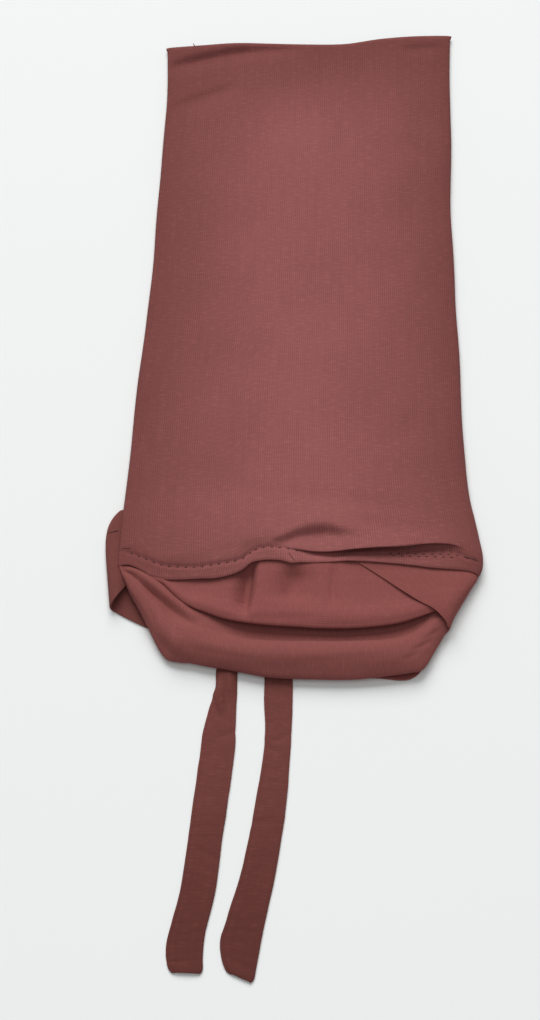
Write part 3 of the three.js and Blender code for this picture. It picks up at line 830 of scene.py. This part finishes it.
# Fine wrinkles at both ends of the roll and two long soft ones on it, as the sleeve's creases
LEFT_WRINKLES = [
    dict(x=88, y=-141, turn=32, half=9, far=1.6, near=2.6, depth=1),
    dict(x=94, y=-133, turn=38, half=8, far=1.6, near=2.6, depth=0.9),
    dict(x=80, y=-149, turn=24, half=8, far=1.6, near=2.6, depth=0.6),
    dict(x=-78, y=-124, turn=-38, half=12, far=1.4, near=2.4, depth=0.7),
    dict(x=-92, y=-111, turn=-44, half=12, far=1, near=1.8, depth=0.5),
    dict(x=-84, y=-120, turn=-46, half=8, far=1, near=1.8, depth=0.4),
    dict(x=-99, y=-101, turn=-42, half=9, far=1, near=1.6, depth=0.5),
    dict(x=-52, y=-148, turn=-12, half=20, far=3, near=5, depth=0.6),
    dict(x=30, y=-152, turn=4, half=30, far=3, near=5, depth=0.4),
]


def left_point(x, t):
    def at(key):
        return along(LEFT_BAND, key, x, "x")

    *cut, end = [Vector((x, at(name + "_y"), at(name + "_z"))) for name in LEFT_POINTS]
    low = at("under_z")
    radius = cut[-1].z - low
    rolled_under = cut[-1] + Vector((0, radius * UNDER_ROLL, -radius))
    point = through([*cut, rolled_under, (rolled_under + end) / 2, end], t)
    on_top = smooth(low + 1, LEFT_TOP, point.z)
    point.z += ripple(point.x, point.y, *LEFT_SWELL) * on_top
    point.z -= crease_depth(point.x, point.y, LEFT_WRINKLES) * on_top
    point.z = max(point.z, low)
    return point


left = cloth_grid("left_band", across_cuts(left_point, LEFT_BAND, LEFT_COLUMNS, LEFT_ROWS))
give_wall(left, BAND_WALL)
left_jersey = jersey("viscose_jersey_left_band", "8d514d", rib_contrast=0.1, slub_contrast=0.17)
finish_cloth(left, left_jersey, "band_left")

# The right band.
# A long strip of doubled jersey. It starts as the flap at the right corner, turns under along the
# right side, runs on beneath the others and comes out at the left. There it turns up and back as
# the narrow wing that is sewn under the sleeve's side.
RIGHT_COLUMNS = 60
FLAP_STEPS = 46
BAND_STEPS = 7
LOW = 0.8
ROLL_WIDTH = 12
LEAST_FLAT_SHARE = 0.25
STEP_CROWDING = 0.7
FLAP_CROWN = 0.4
FLAP_SWELL = (30, 0.35)
# Under the right end of the roll the band's front edge turns up: how high, over what share of the
# band's width, and where along X the lip grows from nothing and goes back to it
LIP = 1.1
LIP_SHARE = 1 / 60
LIP_GROWS = (40, 62)
LIP_ENDS = (87, 80)
# The flap at each share v of its width, from its tip to its end under the hem: its free edge (ex,
# ey, ez), and the fold at the right side that it turns under along (fx, fy, fz)
FLAP = [
    dict(v=0, ex=104.5, ey=-127.6, ez=10.4, fx=105.6, fy=-128, fz=7),
    dict(v=0.06, ex=103.3, ey=-124.9, ez=12.4, fx=107.5, fy=-122.8, fz=7.3),
    dict(v=0.14, ex=100.5, ey=-121.3, ez=13.8, fx=110.4, fy=-116.6, fz=7.4),
    dict(v=0.26, ex=95, ey=-115.9, ez=14.2, fx=114, fy=-110, fz=7.4),
    dict(v=0.42, ex=84.1, ey=-109, ez=13.2, fx=118.4, fy=-102.4, fz=7.2),
    dict(v=0.58, ex=71, ey=-99.2, ez=11.6, fx=122.5, fy=-96.4, fz=6.8),
    dict(v=0.8, ex=50.6, ey=-84, ez=9.7, fx=126.6, fy=-88.6, fz=6),
    dict(v=1, ex=34, ey=-73, ez=8.8, fx=125.6, fy=-81, fz=5.4),
]
# What follows it: a point on the band's front edge and one on its back edge, and how far the
# middle of the band bulges to the left between them
RIGHT_BAND = [
    dict(front=(103, -129.5, 2), back=(123, -88, 1.9), bulge=0),
    dict(front=(96, -139.5, LOW), back=(114, -79, LOW), bulge=0),
    dict(front=(88, -153, LOW), back=(100, -71, LOW), bulge=0),
    dict(front=(84.8, -157.8, LOW), back=(88, -67.5, LOW), bulge=0),
    dict(front=(81.6, -160.6, LOW), back=(78, -67.5, LOW), bulge=0),
    dict(front=(58, -161.6, LOW), back=(58, -67, LOW), bulge=0),
    dict(front=(40, -159.4, LOW), back=(42, -67, LOW), bulge=0),
    dict(front=(6, -147, LOW), back=(6, -67, LOW), bulge=0),
    dict(front=(-28, -146.6, LOW), back=(-28, -67, LOW), bulge=0),
    dict(front=(-58, -145, LOW), back=(-58, -67, LOW), bulge=0),
    dict(front=(-90, -130, LOW), back=(-92, -62, LOW), bulge=0),
    dict(front=(-103.6, -123.2, LOW), back=(-108, -48, LOW), bulge=2),
    dict(front=(-119, -115.2, LOW), back=(-117, -41, LOW), bulge=7),
    dict(front=(-124.6, -111.8, 1.4), back=(-121.4, -39.4, 1.4), bulge=11),
    dict(front=(-126, -110.8, 4.2), back=(-122, -38.5, 3), bulge=11.4),
    dict(front=(-124.8, -109.4, 8.4), back=(-120.8, -38, 4.6), bulge=11),
    dict(front=(-121, -103.4, 9.2), back=(-118, -37.4, 5), bulge=7),
    dict(front=(-117, -96.4, 6), back=(-114, -37, 4.6), bulge=2),
    dict(front=(-112.4, -89, 4), back=(-110, -37, 4.2), bulge=0),
]
# The seam across the wing, where the band was joined
WING_SEAM = ((-129.2, -55.6), (-127, -55.2), (-124.6, -54.6), (-122.2, -53.8))
WING_SEAM_RADIUS = 0.5


def right_row(v):
    """The right band from the flap's free edge to the wing's end, at one share of its width."""
    free = Vector([along(FLAP, "e" + c, v, "v") for c in "xyz"])
    side = Vector([along(FLAP, "f" + c, v, "v") for c in "xyz"])
    flat_share = max(LEAST_FLAT_SHARE, 1 - ROLL_WIDTH / (side - free).length)
    row = []
    for k in range(FLAP_STEPS):
        w = k / FLAP_STEPS
        w = lerp(w, math.sin(w * math.pi / 2), STEP_CROWDING)
        down = max(0, (w - flat_share) / (1 - flat_share))
        point = free.lerp(side, w)
        point.z = side.z + (free.z - side.z) * math.sqrt(1 - down**2)
        point.z += FLAP_CROWN * math.sin(math.pi * w) + ripple(point.x, point.y, *FLAP_SWELL) * (1 - down)
        row.append(point)
    stops = [side]
    for one in RIGHT_BAND:
        stop = Vector(one["front"]).lerp(Vector(one["back"]), v)
        stop.x -= one["bulge"] * v * (1 - v**6)
        stops.append(stop)
    count = BAND_STEPS * (len(stops) - 1)
    for k in range(count + 1):
        point = through(stops, k / count)
        lip = LIP * math.exp(-((v / LIP_SHARE) ** 2))
        lip *= smooth(*LIP_GROWS, point.x) * smooth(*LIP_ENDS, point.x)
        point.z = max(point.z, LOW + lip)
        row.append(point)
    return row


points = [right_row(k / RIGHT_COLUMNS) for k in range(RIGHT_COLUMNS + 1)]
right = cloth_grid("right_band", points, ribs_across=True)
give_wall(right, BAND_WALL)
# Painted shade: the band turns darker from about 220 to 260 mm along it and stays darker over the wing and
# its return
right_jersey = jersey(
    "viscose_jersey_right_band",
    "8c4f4b",
    rib_contrast=0.1,
    slub_contrast=0.16,
    painted_shade_colour="784540",
    painted_shade_from=0.22,
    painted_shade_to=0.26,
)
finish_cloth(right, right_jersey, "band_right")
bpy.context.view_layer.update()
wing_seam = thread("wing_seam", [drop_on(right, x, y) for x, y in WING_SEAM], WING_SEAM_RADIUS * MM)
finish_cloth(wing_seam, thread_and_pit_shade_material)

# The ties.
# Two narrow tubes of jersey, turned out and pressed flat, with hemmed ends. They lie loose on the
# table and start under the bands, where the left one is still a soft round roll.
TIE_WALL = 1.4
TIE_ROWS = 150
TIE_COLUMNS = (0, 0.03, 0.06, 0.09, 0.12, 0.16, 0.22, 0.3, 0.4, 0.5, 0.6, 0.7, 0.8, 0.88, 0.94, 0.97, 1)
TIE_SEAM_AT = 0.09
TIE_SEAM_WIDTH = 0.025
TIE_SEAM_DEPTH = 0.45
TIE_LOFT = 0.4
TIE_WANDER = (14, 0.5)
# The loose part lies in waves and small crumples, which grow from nothing to full between these
# distances from the start
LOOSE_FROM = (12, 40)
TIE_WAVES = (22, 0.98)
CRUMPLE_SIZE = (30, 7)
CRUMPLE_HEIGHT = 0.5
# Cuts across each tie from its start: its two sides, how much further its right side reaches, and
# how far its upper layer is puffed up
TIES = {
    "left": [
        dict(y=-147.6, left=-52.4, right=-39, slant=0, puff=0),
        dict(y=-153, left=-52.5, right=-39, slant=0, puff=0.2),
        dict(y=-159, left=-52.6, right=-39, slant=0, puff=3),
        dict(y=-168, left=-52.8, right=-39.3, slant=0, puff=3.2),
        dict(y=-173.5, left=-54.6, right=-39.3, slant=0, puff=2),
        dict(y=-186.3, left=-58, right=-39.7, slant=0, puff=0.8),
        dict(y=-200, left=-61.2, right=-39.8, slant=0, puff=0.3),
        dict(y=-213, left=-62.8, right=-40.4, slant=0, puff=0),
        dict(y=-269, left=-69.5, right=-47.5, slant=0, puff=0),
        dict(y=-310, left=-75, right=-52.5, slant=0, puff=0),
        dict(y=-335, left=-81.2, right=-58.2, slant=0, puff=0),
        dict(y=-345, left=-83.2, right=-59.6, slant=0, puff=0),
        dict(y=-355, left=-82.8, right=-60.2, slant=0, puff=0.2),
        dict(y=-360, left=-81.4, right=-60.1, slant=-0.3, puff=0.4),
        dict(y=-361.8, left=-80, right=-60.8, slant=-0.7, puff=0.3),
        dict(y=-362.6, left=-78.8, right=-61.8, slant=-0.8, puff=0),
    ],
    "right": [
        dict(y=-147.6, left=-19.5, right=-1, slant=0, puff=0),
        dict(y=-177, left=-20.1, right=-1.5, slant=0, puff=0.3),
        dict(y=-200, left=-19.4, right=-2.3, slant=0, puff=0.1),
        dict(y=-214, left=-20.4, right=-3.3, slant=0, puff=0),
        dict(y=-245, left=-25.2, right=-5.5, slant=0, puff=0),
        dict(y=-294, left=-34.5, right=-12.5, slant=0, puff=0),
        dict(y=-330, left=-45, right=-20, slant=0, puff=0),
        dict(y=-342, left=-48.4, right=-22.6, slant=-1.5, puff=0),
        dict(y=-354, left=-47.2, right=-25.4, slant=-4, puff=0.2),
        dict(y=-360.4, left=-44.9, right=-26.9, slant=-5.4, puff=0.4),
        dict(y=-362.2, left=-43.6, right=-27.8, slant=-5.8, puff=0.3),
        dict(y=-363, left=-42.2, right=-29, slant=-6, puff=0),
    ],
}
# The ties' soft folds, shallow kinks and stitched end hems, as the sleeve's creases
TIE_FOLDS = {
    "left": [
        dict(x=-50.2, y=-174, turn=-80, half=12, far=1.6, near=2, depth=-1.6),
        dict(x=-53.6, y=-182, turn=-70, half=10, far=1.8, near=1.8, depth=1.4),
        dict(x=-46, y=-172, turn=-82, half=14, far=2, near=3, depth=1.3),
        dict(x=-70, y=-355, turn=2, half=14, far=0.7, near=0.9, depth=0.5),
        dict(x=-44, y=-201, turn=24, half=8, far=1.6, near=3, depth=0.9),
        dict(x=-58, y=-284, turn=-30, half=8, far=1.6, near=3, depth=0.5),
    ],
    "right": [
        dict(x=-9, y=-204, turn=24, half=7, far=1.6, near=3, depth=0.6),
        dict(x=-16, y=-211, turn=-34, half=8, far=1.6, near=3, depth=0.7),
        dict(x=-22, y=-262, turn=16, half=9, far=1.6, near=3, depth=0.5),
        dict(x=-35, y=-355, turn=-14, half=14, far=0.7, near=0.9, depth=0.5),
    ],
}
# Painted shade: each tie turns darker from 50 to 200 mm along it, away from the bands
tie_jersey = jersey(
    "viscose_jersey_ties",
    "78443f",
    rib_contrast=0.05,
    slub_contrast=0.2,
    painted_shade_colour="683934",
    painted_shade_from=0.05,
    painted_shade_to=0.2,
)
for side, cuts in TIES.items():
    start, end = cuts[0]["y"], cuts[-1]["y"]
    points = []
    for k in range(TIE_ROWS + 1):
        y = lerp(start, end, k / TIE_ROWS)
        left_x, right_x, slant, puff = (along(cuts, key, y) for key in ("left", "right", "slant", "puff"))
        row = []
        for share in TIE_COLUMNS:
            x = lerp(left_x, right_x, share)
            x += ripple(0 if share < 0.5 else 9, y, *TIE_WANDER) * abs(share - 0.5)
            loose = smooth(start - LOOSE_FROM[0], start - LOOSE_FROM[1], y)
            crumple = noise.noise(Vector((x / CRUMPLE_SIZE[0], y / CRUMPLE_SIZE[1], 3)))
            lift = max(0, ripple(x, y, *TIE_WAVES)) + CRUMPLE_HEIGHT * abs(crumple)
            round_off = 1 - abs(2 * share - 1) ** 2.5
            groove = TIE_SEAM_DEPTH * math.exp(-(((share - TIE_SEAM_AT) / TIE_SEAM_WIDTH) ** 2))
            fold = crease_depth(x, y, TIE_FOLDS[side])
            bent = lift * loose - groove - fold + TIE_LOFT
            z = TIE_WALL / 2 + bent * round_off**0.3 + puff * round_off
            row.append(Vector((x, y + slant * share, max(z, TIE_WALL / 2))))
        points.append(row)
    tie = cloth_grid("tie_" + side + "_cloth", points)
    give_wall(tie, TIE_WALL)
    finish_cloth(tie, tie_jersey, "tie_" + side)
